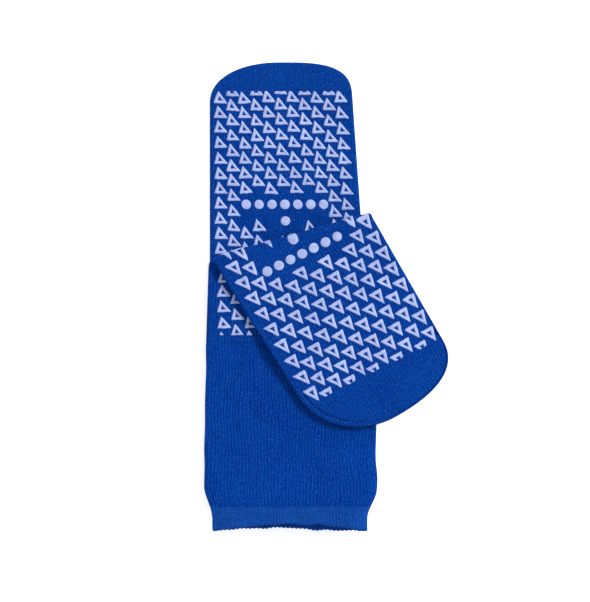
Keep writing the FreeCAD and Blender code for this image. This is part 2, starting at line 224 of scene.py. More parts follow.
def tucks_at(y, mouth):
    """Shares of the cuff's tuck that the left and the right edge have at y."""
    return [smoothstep((mouth + start - y) / (start - end)) for start, end in zip(TUCK_START, TUCK_END)]


def lower_edges(y):
    spread = smoothstep((FOOT_START - y) / -FOOT_START)
    right = mix(LOWER_FOOT_RIGHT, LOWER_LEG_RIGHT, spread)
    tucks = tucks_at(y, LOWER_MOUTH)
    return LOWER_LEFT + LOWER_TUCK * tucks[0], right - LOWER_TUCK * tucks[1]


def upper_edges(y):
    spread = np.minimum((FOLD_CENTRE[1] - y) / (FOLD_CENTRE[1] - UPPER_LEG_WIDE), 1)
    tucks = tucks_at(y, UPPER_MOUTH)
    sides = []
    for number in (0, 1):
        side = mix(UPPER_AT_FOLD[number], UPPER_LEG[number], spread)
        side = side + tucks[number] * (UPPER_MOUTH_EDGES[number] - UPPER_LEG[number])
        sides.append(side + 0.35 * waves(y, number * 50.0, 26, 60 + number))
    return sides


class Leg:
    """The tube of one sock from its mouth to its foot."""

    def __init__(self, edges, mouth, cuff_top, base, seed):
        self.edges = edges
        self.mouth = mouth
        self.cuff_top = cuff_top
        self.base = base
        self.seed = seed

    def mouth_line(self):
        """Y of the edge of the mouth round a ring; it draws back in the middle."""
        arc = 1 - (2 * ACROSS - 1) ** 2
        under = mix(1.9, 0.0, smoothstep((ACROSS - 0.45) / 0.35))
        draw = np.where(SIDE > 0, 5.0, under)
        scallop = 0.28 * np.cos(TAU * ACROSS * 36) + 0.35 * waves(ACROSS * 100, SIDE * 30, 16, self.seed + 7)
        return self.mouth + 0.9 + arc * draw + scallop * np.minimum(arc * 6, 1)

    def points(self, y, depth):
        """Points at y round each ring, depth below the outer surface."""
        left, right = self.edges(y)
        left = left + depth
        right = right - depth
        x = mix(left, right, ACROSS)
        distance = np.minimum(x - left, right - x)
        height = leg_height(y, self.cuff_top)
        gape = gape_at(y)
        radius = mix(EDGE_RADIUS, MOUTH_EDGE_RADIUS, gape) - np.minimum(depth, PLY)
        half = (height / 2 - depth) * rounded(distance, radius)
        wales, share = self.ribs(y)
        inward = np.minimum(distance / 3, 1)
        bumps = relief(wales, y, self.seed, share) * np.clip(1 - depth / 0.5, 0, 1) * inward
        loose = 0.45 + 0.45 * waves(x, y, 46, self.seed + 4) + 0.2 * waves(x, y, 17, self.seed + 5)
        hollow = np.maximum(loose, 0) * inward * mix(1 - depth / wall_at(y, self.cuff_top), 1, gape)
        base = self.base(y)
        z = base + height / 2 + SIDE * (half + bumps) - np.where(SIDE > 0, hollow, 0)
        z = np.maximum(z, base + 0.02) if self.base is flat_base else z
        return np.stack(np.broadcast_arrays(x, y, z), -1), wales, y / COURSE

    def ribs(self, y):
        """Running number of the wales and their share of the full height: the cuff's are lower."""
        wales = wale_number(ACROSS, y, self.seed)
        in_cuff = y < self.cuff_top
        return np.where(in_cuff, wales * CUFF_WALES / WALES, wales), np.where(in_cuff, CUFF_RELIEF, 1.0)

    def rows(self, start, end):
        count = max(int(round(abs(end - start) / ROW)), 2)
        return np.linspace(start, end, count + 1)[:, None] + 0 * ACROSS


def flat_base(y):
    return 0 * y


def upper_base(y):
    """The upper leg follows the top of the lower one, and stays level past its mouth."""
    return leg_height(np.maximum(y, LOWER_MOUTH), LOWER_CUFF_TOP) + CLEAR


def cuff_rows(leg, wall):
    """Rows of a cuff from its top, inside the mouth, round the edge of the welt and back up outside."""
    line = leg.mouth_line()
    centre = line + wall / 2
    parts = []
    for share in np.linspace(0, 1, CUFF_INNER_ROWS):
        parts.append((mix(leg.cuff_top, centre, share), wall))
    for angle in np.linspace(0, math.pi, 8)[1:-1]:
        y = centre - wall / 2 * math.sin(angle)
        parts.append((y, wall / 2 * (1 + math.cos(angle))))
    for share in np.linspace(1, 0, CUFF_OUTER_ROWS):
        parts.append((mix(leg.cuff_top, centre, share), 0.0))
    return [leg.points(y, depth) for y, depth in parts]


# ---- Feet ----
class Foot:
    """The flat tube of a foot, drawn toe up, from a line of start points to the tip of the toe."""

    def __init__(self, toe_edges, tip, shoulders, start, seed):
        self.toe_edges = toe_edges
        self.towards = np.sign(toe_edges[1] - toe_edges[0])
        self.tip = tip
        self.shoulders = shoulders
        self.start = start
        self.seed = seed

    def shoulder(self, across):
        reach = np.where(across < 0.5, self.shoulders[0][0], self.shoulders[1][0])
        power = np.where(across < 0.5, self.shoulders[0][1], self.shoulders[1][1])
        return reach, power

    def toe_line(self, across, depth):
        """Point on the outline of the toe for each column."""
        reach, power = self.shoulder(across)
        first = self.toe_edges[0] + depth * self.towards
        last = self.toe_edges[1] - depth * self.towards
        offset = np.abs(2 * across - 1)
        rise = (1 - offset ** power) ** (1 / power)
        return mix(first, last, across), self.tip - depth - reach * (1 - rise)

    def plan(self, share, across, depth):
        """Plan position at a share of the way along a column."""
        start_x, start_y = self.start(across)
        start_x = start_x + depth * self.towards * (1 - 2 * across)
        end_x, end_y = self.toe_line(across, depth)
        return mix(start_x, end_x, share), mix(start_y, end_y, share)

    def edge_distance(self, x, y, depth=0.0):
        """Distance to the outline, near enough beside it."""
        left_x, left_y = self.start(np.array(0.0))
        right_x, right_y = self.start(np.array(1.0))
        first_y = self.tip - depth - self.shoulders[0][0]
        last_y = self.tip - depth - self.shoulders[1][0]
        first = mix(left_x, self.toe_edges[0], np.minimum((y - left_y) / (first_y - left_y), 1))
        last = mix(right_x, self.toe_edges[1], np.minimum((y - right_y) / (last_y - right_y), 1))
        half = np.abs(last - first) / 2 - depth
        offset = (x - (first + last) / 2) * self.towards / half
        reach, power = self.shoulder((offset + 1) / 2)
        ahead = np.maximum(y - (self.tip - depth - reach), 0) / reach
        far = np.maximum((np.abs(offset) ** power + ahead ** power) ** (1 / power), 1e-6)
        slope_x = (np.abs(offset) / far) ** (power - 1) / half
        slope_y = (ahead / far) ** (power - 1) / reach
        return np.maximum(1 - far, 0) / np.maximum(np.hypot(slope_x, slope_y), 1e-6)

    def half_height(self, x, y, depth, lowered=0.0):
        distance = self.edge_distance(x, y, depth)
        return (HALF - depth - lowered) * rounded(distance, EDGE_RADIUS - np.minimum(depth, PLY))


def row_shares(length, close_end):
    """Shares along a foot of the given length, close together where the toe's edge rounds off."""
    count = int(round(length / ROW))
    shares = np.linspace(0, 1, count + 1)
    if close_end:
        shares = np.concatenate([shares[:-1], 1 - np.array([0.55, 0.28, 0.14, 0.05, 0.0]) / length])
    return shares[:, None]


# ---- The lower foot ----
def lower_start(across):
    return mix(LOWER_LEFT, LOWER_FOOT_RIGHT, across), FOOT_START + 0 * across


LOWER_FOOT = Foot((LOWER_LEFT, LOWER_TOE_RIGHT), LOWER_TIP, LOWER_SHOULDERS, lower_start, 11)


def seam_groove(distance, inset, along, start):
    """The line of the toe seam: a groove inset from the edge, with a lip outside it."""
    inside = distance - inset
    groove = -0.95 * np.exp(-(inside / 0.5) ** 2) + 0.2 * np.exp(-((inside + 1.1) / 0.6) ** 2)
    return groove * smoothstep((along - start) / 12)


def soft_hollows(x, y, length, seed, height):
    """Depth of the shallow hollows in a layer of cloth that lies loose."""
    uneven = waves(x, y, length, seed) + 0.45 * waves(x, y, length * 0.36, seed + 1)
    return np.maximum(height * (1 + uneven), 0)


def lower_height(x, y, side, depth=0.0):
    """Z of the lower foot's surface; its underside lies a print's height above the floor."""
    foot = LOWER_FOOT
    below = np.where(side < 0, MARK_LIFT, 0.0) * (1 - np.minimum(depth, 1))
    half = foot.half_height(x, y, depth, below)
    distance = foot.edge_distance(x, y, depth)
    hollow = soft_hollows(x, y, 42, 71, 0.32) * np.minimum(distance / 3, 1) * (1 - depth / PLY)
    seam = seam_groove(distance, SEAM_INSET, y, LOWER_TIP - 34) * max(1 - depth, 0)
    return HALF + side * half - np.where(side > 0, hollow, seam * 0.5)


def lower_rows(shares, depth):
    x, y = LOWER_FOOT.plan(shares, ACROSS, depth)
    z = lower_height(x, y, SIDE, depth)
    wales = wale_number(ACROSS, y, LOWER_FOOT.seed)
    if depth == 0:
        fade = np.minimum(LOWER_FOOT.edge_distance(x, y) / 1.5, 1)
        ribs = relief(wales, y, LOWER_FOOT.seed, foot_share(LOWER_TIP - y))
        z = z + SIDE * ribs * fade * np.where(SIDE < 0, 0.6, 1)
    return np.stack([x, y, z], -1), wales, y / COURSE


# ---- The upper foot: heel, fold and forefoot ----
def on_fold_line(t):
    """Plan position at a distance t along the fold line."""
    return FOLD_CENTRE[0] + t * FOLD_ALONG[0], FOLD_CENTRE[1] + t * FOLD_ALONG[1]


def heel_edges(y):
    left, right = upper_edges(y)
    return left, right + HEEL_FLARE * np.maximum(y - FOOT_START, 0) / (FOLD_CENTRE[1] - FOOT_START)


def heel_fold(across):
    """Distance along the fold line where each column of the heel meets it."""
    slope = FOLD_ALONG[1] / FOLD_ALONG[0]
    ends = []
    for number in (0, 1):
        y = FOLD_CENTRE[1]
        for _ in range(6):
            y = FOLD_CENTRE[1] + (heel_edges(np.array(y))[number] - FOLD_CENTRE[0]) * slope
        ends.append((heel_edges(np.array(y))[number] - FOLD_CENTRE[0]) / FOLD_ALONG[0])
    return mix(ends[0], ends[1], across)


def forefoot_plan(x, y):
    """World plan position of a point in the forefoot's own frame."""
    cosine, sine = math.cos(FOREFOOT_ANGLE), math.sin(FOREFOOT_ANGLE)
    return FOLD_CENTRE[0] + x * cosine - y * sine, FOLD_CENTRE[1] + x * sine + y * cosine


def forefoot_start(across):
    """Where each column of the forefoot leaves the fold line, in the forefoot's own frame."""
    x = mix(FOREFOOT_HEEL[0], FOREFOOT_HEEL[1], across)
    return x, FOLD_SLOPE * x + FOLD_GAP / 2 * math.hypot(1, FOLD_SLOPE)


def forefoot_fold(across):
    x, y = forefoot_start(across)
    world_x, world_y = forefoot_plan(x, y)
    return (world_x - FOLD_CENTRE[0]) * FOLD_ALONG[0] + (world_y - FOLD_CENTRE[1]) * FOLD_ALONG[1]


FOREFOOT = Foot(FOREFOOT_TOE, FOREFOOT_TIP, FOREFOOT_SHOULDERS, forefoot_start, 23)


def heel_height(x, y, side, depth=0.0):
    left, right = heel_edges(y)
    distance = np.minimum(x - left, right - x) - depth
    half = (HALF - depth) * rounded(np.maximum(distance, 0), EDGE_RADIUS - min(depth, PLY))
    outside = np.clip(distance / 3, 0, 1) * smoothstep((y - FOOT_START) / 10)
    hollow = soft_hollows(x, y, 40, 81, 0.35) * outside * (1 - depth / PLY)
    return HEEL_MIDDLE + side * half - np.where(side > 0, hollow, 0)


def heel_rows(shares, depth):
    left, right = heel_edges(np.array(FOOT_START))
    fold_x, fold_y = on_fold_line(heel_fold(ACROSS))
    fold_x = fold_x - FOLD_GAP / 2 * FOLD_ACROSS[0]
    fold_y = fold_y - FOLD_GAP / 2 * FOLD_ACROSS[1]
    x = mix(mix(left, right, ACROSS), fold_x, shares) + depth * (1 - 2 * ACROSS)
    y = mix(FOOT_START + 0 * ACROSS, fold_y, shares)
    z = heel_height(x, y, SIDE, depth)
    wales = wale_number(ACROSS, y, UPPER_SEED)
    if depth == 0:
        z = z + SIDE * relief(wales, y, UPPER_SEED) * np.minimum(np.minimum(ACROSS, 1 - ACROSS) * 60, 1)
    return np.stack([x, y, z], -1), wales, y / COURSE


def fold_point(t, angle, height):
    """A point of the folded loop: t along the fold, angle round it, height out from its middle layer."""
    radius = FOLD_RADIUS + height
    x, y = on_fold_line(t)
    reach = radius * np.cos(angle) - FOLD_GAP / 2
    z = FOLD_CENTRE[2] + radius * np.sin(angle)
    return np.stack(np.broadcast_arrays(x + reach * FOLD_ACROSS[0], y + reach * FOLD_ACROSS[1], z), -1)


def loop_distance(across):
    """Distance from the nearer edge of the loop."""
    width = forefoot_fold(np.array(1.0)) - forefoot_fold(np.array(0.0))
    return np.minimum(across, 1 - across) * abs(width)


def loop_waves(t, angle, side):
    """Unevenness of the outer layer of the loop."""
    return np.where(side < 0, 0.5 * waves(t, 0 * t, 24, 93) * np.cos(angle), 0)


def fold_rows(shares, depth):
    angle = (shares - 0.5) * math.pi
    t = mix(heel_fold(ACROSS), forefoot_fold(ACROSS), shares) + depth * (1 - 2 * ACROSS)
    distance = loop_distance(ACROSS)
    half = (HALF - depth) * rounded(distance, EDGE_RADIUS - min(depth, PLY))
    along = KNIT_AT_FOLD + shares * FOLD_LENGTH
    wales = wale_number(ACROSS, along, UPPER_SEED)
    height = -SIDE * half
    if depth == 0:
        height = height - SIDE * relief(wales, along, UPPER_SEED) * np.minimum(distance / 2, 1)
        height = height + loop_waves(t, angle, SIDE)
    return fold_point(t, angle, height), wales, along / COURSE


def droop(world_x):
    """How far the forefoot sinks where it reaches past the leg that it rests on."""
    return 4.2 * smoothstep((world_x - 30) / 52)


def forefoot_seam_inset(x):
    """The toe seam has rolled inwards on one side of the toe."""
    return 1.5 + 2.3 * smoothstep((x + 15) / 50)


def forefoot_height(x, y, side, depth=0.0):
    """Z of the forefoot's surface at a point of its own frame; its instep side faces up."""
    world_x = forefoot_plan(x, y)[0]
    half = FOREFOOT.half_height(x, y, depth)
    distance = FOREFOOT.edge_distance(x, y, depth)
    outside = np.minimum(distance / 3, 1) * smoothstep((y - FOLD_SLOPE * x) / 14)
    hollow = soft_hollows(x, y, 44, 91, 0.42) * outside * (1 - depth / PLY)
    seam = seam_groove(distance, forefoot_seam_inset(x), y, FOREFOOT_TIP - 52) * max(1 - depth, 0)
    return FOREFOOT_MIDDLE - side * half + np.where(side < 0, seam - hollow, 0) - droop(world_x)


def forefoot_rows(shares, depth):
    x, y = FOREFOOT.plan(shares, ACROSS, depth)
    z = forefoot_height(x, y, SIDE, depth)
    along = KNIT_AT_FOLD + FOLD_LENGTH + y
    wales = wale_number(ACROSS, along, UPPER_SEED)
    if depth == 0:
        fade = np.minimum(FOREFOOT.edge_distance(x, y) / 1.5, 1)
        z = z - SIDE * relief(wales, along, UPPER_SEED, foot_share(FOREFOOT_TIP - y)) * fade
    world_x, world_y = forefoot_plan(x, y)
    return np.stack([world_x, world_y, z], -1), wales, along / COURSE


# ---- Meshes ----
def new_mesh(name, points, faces, knit=None, normals=None):
    """Mesh object from points in millimetres and arrays of faces of one length each."""
    mesh = bpy.data.meshes.new(name)
    corners = np.concatenate([part.ravel() for part in faces])
    sizes = np.concatenate([np.full(len(part), part.shape[1]) for part in faces])
    mesh.vertices.add(len(points))
    mesh.vertices.foreach_set("co", (points * MM).astype(np.float32).ravel())
    mesh.loops.add(len(corners))
    mesh.loops.foreach_set("vertex_index", corners.astype(np.int32))
    mesh.polygons.add(len(sizes))
    starts = np.concatenate([[0], np.cumsum(sizes)[:-1]])
    mesh.polygons.foreach_set("loop_start", starts.astype(np.int32))
    mesh.polygons.foreach_set("use_smooth", np.ones(len(sizes), bool))
    mesh.update(calc_edges=True)
    if knit is not None:
        layer = mesh.attributes.new("knit", "FLOAT_VECTOR", "POINT")
        layer.data.foreach_set("vector", knit.astype(np.float32).ravel())
    if normals is not None:
        mesh.normals_split_custom_set_from_vertices(normals.tolist())
    thing = bpy.data.objects.new(name, mesh)
    bpy.context.collection.objects.link(thing)
    return thing


def grid_normals(points):
    """Normals of a grid of rings."""
    along = np.gradient(points, axis=0)
    around = np.roll(points, -1, 1) - np.roll(points, 1, 1)
    normals = np.cross(around, along)
    size = np.linalg.norm(normals, axis=-1, keepdims=True)
    return normals / np.maximum(size, 1e-9)


def stack(rows):
    """One array of points and one of knit coordinates from a list of (points, wales, courses)."""
    points = np.concatenate([part[0].reshape(-1, ACROSS.shape[1], 3) for part in rows])
    knit = []
    for part_points, wales, courses in rows:
        shape = part_points.reshape(-1, ACROSS.shape[1], 3).shape[:2]
        wales = np.broadcast_to(wales, shape)
        courses = np.broadcast_to(courses, shape)
        knit.append(np.stack([wales, courses, np.broadcast_to(SIDE, shape)], -1))
    return points, np.concatenate(knit)


def band(name, outer, inner, material, closed_toe=False):
    """A closed piece of knit from its outer rows and its inner rows, each (points, knit, normals).

    A toe is closed at its last row, where the two sides meet. Any other piece is open at both ends.
    """
    points = np.concatenate([outer[0], inner[0][::-1]])
    knit = np.concatenate([outer[1], inner[1][::-1]])
    normals = np.concatenate([outer[2], inner[2][::-1]])
    rows, around = points.shape[:2]
    index = np.arange(rows * around).reshape(rows, around)
    if closed_toe:
        last = len(outer[0]) - 1
        for row in (last, last + 1):
            index[row, COLUMNS + 1:] = index[row, COLUMNS - 1:0:-1]
            normals[row] += np.roll(normals[row][::-1], 1, 0)
    follow = np.roll(index, -1, 0)
    quads = np.stack([index, np.roll(index, -1, 1), np.roll(follow, -1, 1), follow], -1)
    if closed_toe:
        quads = np.delete(quads, last, 0)
    quads = quads.reshape(-1, 4)
    used, compact = np.unique(quads, return_inverse=True)
    size = np.linalg.norm(normals, axis=-1, keepdims=True)
    normals = normals / np.maximum(size, 1e-9)
    flat = [part.reshape(-1, 3)[used] for part in (points, knit, normals)]
    piece = new_mesh(name, flat[0], [compact.reshape(-1, 4)], flat[1], flat[2])
    piece.data.materials.append(material)
    return piece


def skin(rows, outward=1):
    """Points, knit coordinates and normals of a list of rows."""
    points, knit = stack(rows)
    return points, knit, outward * grid_normals(points)


def cut(whole, start, end):
    """Rows start to end of a skin, both included."""
    return [part[start:end + 1] for part in whole]


def assign(piece, body, nodes):
    """Says which body a piece rides and which CAD nodes it replaces, if any."""
    if body:
        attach(piece, body)
    if nodes:
        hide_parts(*nodes)


def knit_piece(node, body, slot, skins, closed_toe=False):
    """The piece of knit for a node, from its outer and inner skin."""
    piece = band(node + "_knit", *skins, KNITS[slot], closed_toe)
    assign(piece, body, [node])


# ---- Materials ----
class Nodes:
    """A material's node tree, with short ways to add to it."""

    def __init__(self, name):
        self.material = bpy.data.materials.new(name)
        self.material.use_nodes = True
        self.tree = self.material.node_tree
        self.shader = self.tree.nodes["Principled BSDF"]

    def add(self, kind, **values):
        node = self.tree.nodes.new(kind)
        for key, value in values.items():
            setattr(node, key, value)
        return node

    def link(self, source, target):
        self.tree.links.new(source, target)

    def math(self, operation, first, second=0.0):
        node = self.add("ShaderNodeMath", operation=operation)
        for number, value in enumerate((first, second)):
            if isinstance(value, (int, float)):
                node.inputs[number].default_value = value
            else:
                self.link(value, node.inputs[number])
        return node.outputs[0]

    def total(self, *terms):
        """Sum of values, each times its weight."""
        result, *others = [self.math("MULTIPLY", value, weight) for value, weight in terms]
        for other in others:
            result = self.math("ADD", result, other)
        return result

    def noise(self, vector, scale, detail=2.0):
        node = self.add("ShaderNodeTexNoise")
        node.inputs["Scale"].default_value = scale
        node.inputs["Detail"].default_value = detail
        self.link(vector, node.inputs["Vector"])
        return node.outputs["Fac"]

    def scaled(self, vector, scale):
        node = self.add("ShaderNodeMapping")
        node.inputs["Scale"].default_value = scale
        self.link(vector, node.inputs["Vector"])
        return node.outputs["Vector"]

    def blend(self, share, low, high):
        node = self.add("ShaderNodeMix", data_type="RGBA")
        self.link(share, node.inputs["Factor"])
        for socket, value in ((node.inputs[6], low), (node.inputs[7], high)):
            if isinstance(value, tuple):
                socket.default_value = value + (1.0,)
            else:
                self.link(value, socket)
        return node.outputs[2]

    def spread(self, value, low, high):
        """value stretched so that low becomes 0 and high becomes 1."""
        node = self.add("ShaderNodeMapRange")
        node.inputs["From Min"].default_value = low
        node.inputs["From Max"].default_value = high
        self.link(value, node.inputs["Value"])
        return node.outputs["Result"]

    def surface(self, colour, height, strength, distance, **settings):
        """Joins colour and bump to the shader, and sets its other inputs."""
        bump = self.add("ShaderNodeBump")
        bump.inputs["Strength"].default_value = strength
        bump.inputs["Distance"].default_value = distance
        self.link(height, bump.inputs["Height"])
        self.link(bump.outputs[0], self.shader.inputs["Normal"])
        self.link(colour, self.shader.inputs["Base Color"])
        self.settle(**settings)

    def settle(self, **settings):
        """Sets inputs of the shader; an underscore stands for a space."""
        for key, value in settings.items():
            self.shader.inputs[key.replace("_", " ")].default_value = value


def knit_material(name, dark_dye_and_groove_shade, body, fleck, stitch_depth, rib_relief_and_shade):
    """Plain knit: chevron stitches along wandering wales, uneven dye and pale flecks of lint; the grooves
    between the wales and between the stitches are painted darker, as painted shade.
    """
    nodes = Nodes(name)
    knit = nodes.add("ShaderNodeAttribute", attribute_name="knit").outputs["Vector"]
    parts = nodes.add("ShaderNodeSeparateXYZ")
    nodes.link(knit, parts.inputs[0])
    wale, course = parts.outputs[0], parts.outputs[1]
    in_wale = nodes.math("FRACT", nodes.math("ADD", wale, 0.5))
    in_wale = nodes.math("ABSOLUTE", nodes.math("SUBTRACT", in_wale, 0.5))
    slant = nodes.math("ADD", course, nodes.math("MULTIPLY", in_wale, -1.1))
    stitch = nodes.math("ABSOLUTE", nodes.math("SINE", nodes.math("MULTIPLY", slant, math.pi)))
    ridge = nodes.math("COSINE", nodes.math("MULTIPLY", in_wale, TAU))
    streak = nodes.noise(nodes.scaled(knit, (0.9, 0.12, 1)), 1.0)
    dash = nodes.noise(nodes.scaled(knit, (1.9, 0.55, 1)), 1.0)
    blotch = nodes.noise(nodes.scaled(knit, (0.10, 0.07, 1)), 1.0)
    lint = nodes.noise(nodes.scaled(knit, (3.1, 1.3, 1)), 1.0, 3.0)
    height = nodes.total((ridge, 1.5 * rib_relief_and_shade), (stitch, 0.65), (lint, 1.1))
    # Tone: the part from the ribs and the stitches is painted shade in their grooves; the streaks, dashes
    # and blotches are uneven dye.
    tone = nodes.total((ridge, rib_relief_and_shade), (stitch, 0.12), (streak, 0.8), (dash, 1.9), (blotch, 0.7))
    colour = nodes.blend(nodes.spread(tone, 1.15, 2.35), dark_dye_and_groove_shade, body)
    colour = nodes.blend(nodes.spread(lint, 0.55, 0.82), colour, fleck)
    nodes.surface(colour, height, stitch_depth, 0.0006, Roughness=0.92, Specular_IOR_Level=0.02,
                  Sheen_Weight=0.03, Sheen_Roughness=0.5, Sheen_Tint=(0.10, 0.30, 1.0, 1.0))
    return nodes.material


def print_material(name):
    """Soft raised print: pale lavender, a little uneven, with a fine pebbled surface."""
    nodes = Nodes(name)
    place = nodes.add("ShaderNodeTexCoord").outputs["Object"]
    uneven = nodes.noise(place, 420.0, 3.0)
    patches = nodes.noise(place, 60.0)
    tone = nodes.total((uneven, 0.6), (patches, 0.4))
    colour = nodes.blend(nodes.spread(tone, 0.35, 0.65), (0.255, 0.31, 0.55), (0.375, 0.445, 0.75))
    nodes.surface(colour, nodes.noise(place, 1500.0), 0.35, 0.0003, Roughness=0.55, Specular_IOR_Level=0.35,
                  Subsurface_Weight=0.15, Subsurface_Radius=(0.0008, 0.0008, 0.0012))
    return nodes.material


def yarn_material(name, colour_low, colour_high):
    nodes = Nodes(name)
    place = nodes.add("ShaderNodeTexCoord").outputs["Object"]
    twist = nodes.noise(place, 1800.0)
    nodes.link(nodes.blend(twist, colour_low, colour_high), nodes.shader.inputs["Base Color"])
    nodes.settle(Roughness=0.9, Specular_IOR_Level=0.03)
    return nodes.material


# The colour of the dark dye and of the painted shade in the grooves, the body and the fleck colour of each
# knit, the depth of its stitches, and the height of its ribs, which also sets how strong their painted
# groove shade is.
KNIT_LOOKS = {
    "leg_knit": ((0.0, 0.019, 0.188), (0.0004, 0.044, 0.272), (0.030, 0.12, 0.40), 0.5, 0.27),
    "foot_knit": ((0.0, 0.019, 0.182), (0.0006, 0.044, 0.268), (0.030, 0.12, 0.39), 0.5, 0.2),
    "toe_knit": ((0.0, 0.020, 0.184), (0.0010, 0.045, 0.264), (0.030, 0.12, 0.39), 0.45, 0.18),
    "cuff_knit": ((0.0008, 0.029, 0.210), (0.0052, 0.060, 0.300), (0.040, 0.14, 0.43), 0.4, 0.18),
}
KNITS = {slot: knit_material(slot, *looks) for slot, looks in KNIT_LOOKS.items()}
PRINT = print_material("grip_print")
YARN = yarn_material("seam_yarn", (0.0005, 0.006, 0.06), (0.001, 0.014, 0.11))
ELASTIC = yarn_material("elastic_thread", (0.01, 0.05, 0.25), (0.03, 0.12, 0.40))


# ---- Pieces of either sock ----
LOWER_LEG = Leg(lower_edges, LOWER_MOUTH, LOWER_CUFF_TOP, flat_base, 5)
UPPER_LEG_TUBE = Leg(upper_edges, UPPER_MOUTH, UPPER_CUFF_TOP, upper_base, UPPER_SEED)


def inner_skin(maker, start, end, count=INNER_ROWS):
    """A few rows of the inner surface, from one share of the length to another."""
    return skin([maker(np.linspace(start, end, count + 1)[:, None], PLY)], -1)


def leg_pieces(leg, prefix, body, whole, leg_end):
    """The cuff and the leg of a sock, cut from the skin of the whole sock."""
    cuff_end = len(cuff_rows(leg, CUFF_WALL)) - 1
    turn = CUFF_INNER_ROWS - 1
    skins = cut(whole, turn, cuff_end), [part[turn - 1::-1] for part in whole]
    knit_piece(prefix + "_cuff", body, "cuff_knit", skins)
    y = np.linspace(leg.cuff_top, FOOT_START, INNER_ROWS + 1)[:, None]
    inner = skin([leg.points(y + 0 * ACROSS, wall_at(y, leg.cuff_top))], -1)
    skins = cut(whole, cuff_end, leg_end), inner
    knit_piece(prefix + "_leg", body, "leg_knit", skins)


def whole_sock(leg, feet):
    """Skin of a whole sock, from inside the cuff to the toe, and the number of each part's last row."""
    rows = cuff_rows(leg, CUFF_WALL)
    rows.append(leg.points(leg.rows(leg.cuff_top, FOOT_START)[1:], 0.0))
    ends = [sum(part[0].size for part in rows) // (3 * ACROSS.size) - 1]
    for part in feet:
        rows.append(part)
        ends.append(ends[-1] + len(part[0]))
    return skin(rows), ends


def toe_cut(shares, length):
    """Number and share of the row where the toe's own knit starts."""
    row = int(np.searchsorted(shares[:, 0], 1 - TOE_LENGTH / length))
    return row, float(shares[row, 0])


# ---- The lower sock ----
def lower_sock():
    length = LOWER_TIP - FOOT_START
    shares = row_shares(length, True)
    row, toe = toe_cut(shares, length)
    whole, (start, end) = whole_sock(LOWER_LEG, [lower_rows(shares[1:], 0.0)])
    leg_pieces(LOWER_LEG, "lower", "lower_sock", whole, start)
    skins = cut(whole, start, start + row), inner_skin(lower_rows, 0, toe)
    knit_piece("lower_foot", "lower_sock", "foot_knit", skins)
    skins = cut(whole, start + row, end), inner_skin(lower_rows, toe, 1)
    knit_piece("lower_toe", "lower_sock", "toe_knit", skins, True)


# ---- The upper sock ----
def fold_blend(piece):
    """Bakes the piece's placing into its points."""
    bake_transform(piece)


def fold_loop(outer):
    """The loop of knit that joins the heel to the forefoot."""
    piece = band("fold_loop_knit", outer, inner_skin(fold_rows, 0, 1, FOLD_ROWS // 2), KNITS["foot_knit"])
    assign(piece, None, ["fold_loop"])
    fold_blend(piece)


def upper_sock():
    heel_length = FOLD_CENTRE[1] - FOOT_START
    heel_shares = row_shares(heel_length, False)
    fold_shares = np.linspace(0, 1, FOLD_ROWS + 1)[:, None]
    fore_shares = row_shares(FOREFOOT_TIP, True)
    row, toe = toe_cut(fore_shares, FOREFOOT_TIP)
    feet = [heel_rows(heel_shares[1:], 0.0), fold_rows(fold_shares[1:], 0.0)]
    feet.append(forefoot_rows(fore_shares[1:], 0.0))
    whole, (leg_end, heel_end, fold_end, end) = whole_sock(UPPER_LEG_TUBE, feet)
    leg_pieces(UPPER_LEG_TUBE, "upper", "upper_sock", whole, leg_end)
    skins = cut(whole, leg_end, heel_end), inner_skin(heel_rows, 0, 1)
    knit_piece("upper_heel", "upper_sock", "foot_knit", skins)
    fold_loop(cut(whole, heel_end, fold_end))
    skins = cut(whole, fold_end, fold_end + row), inner_skin(forefoot_rows, 0, toe)
    knit_piece("forefoot", "upper_forefoot", "foot_knit", skins)
    skins = cut(whole, fold_end + row, end), inner_skin(forefoot_rows, toe, 1)
    knit_piece("forefoot_toe", "upper_forefoot", "toe_knit", skins, True)


# ---- Print ----
MARK_BASE = 9.0
MARK_APEX = -2.0                 # how far the apex leans to the left, seen from outside
MARK_SINK = 0.3
MARK_POINTS = 36
MARK_SHARES = (1.0, 0.985, 0.93, 0.80, 0.48, 0.37, 0.325, 0.31)
MARK_HEIGHTS = (-0.3, 0.08, 0.27, 0.42, 0.42, 0.27, 0.08, -0.3)
MARK_COLUMNS = 11
LEAST_BASE = 1.2                 # least length that is printed of a mark cut at the toe
LEAST_APEX = 0.8                 # and of a mark cut where the print ends
FULL_LINE = 1.1                  # width of line from which the print has its full height

# A face of print. Lengths are from the tip of the toe: the first mark's start, its rise, the row from
# one mark to the next, the cut before which nothing is printed, the middle and half the length of the
# panel without marks, and the row of dots. The columns are the first and the last one, as shares of
# the width, and the bend is how far the rows stray from straight.
SOLE = {"side": 1, "start": 18.2, "rise": 8.2, "row": 9.88, "cut": 19.0, "bend": 0.0,
        "panel": 94.0, "panel_half": 9.5, "dots": 92.8, "columns": (0.076, 0.92)}
UPPER_SOLE = dict(SOLE, columns=(0.104, 0.935))
INSTEP = {"side": -1, "start": 33.6, "rise": 10.0, "row": 11.9, "cut": 33.5, "bend": 6.6,
          "panel": 122.5, "panel_half": 11.5, "dots": 122.8, "columns": (0.06, 0.915)}
PANEL_HALF_WIDTH = 31.0
PRINT_END = -25.5
EDGE_MARGIN = 0.8                # from the edge of the sock to the nearest print
DOT_RADIUS = 3.2
DOT_POINTS = 24
DOT_SHARES = (1.0, 0.985, 0.93, 0.8, 0.5, 0.15)
DOT_HEIGHTS = (-0.3, 0.16, 0.32, 0.42, 0.48, 0.5)
DOT_PITCH = 8.4
DOT_COUNT = 7
SINGLE_DOT_DROP = 10.8           # from the row of dots to the single dot
SINGLE_DOT_ROOM = 12.0


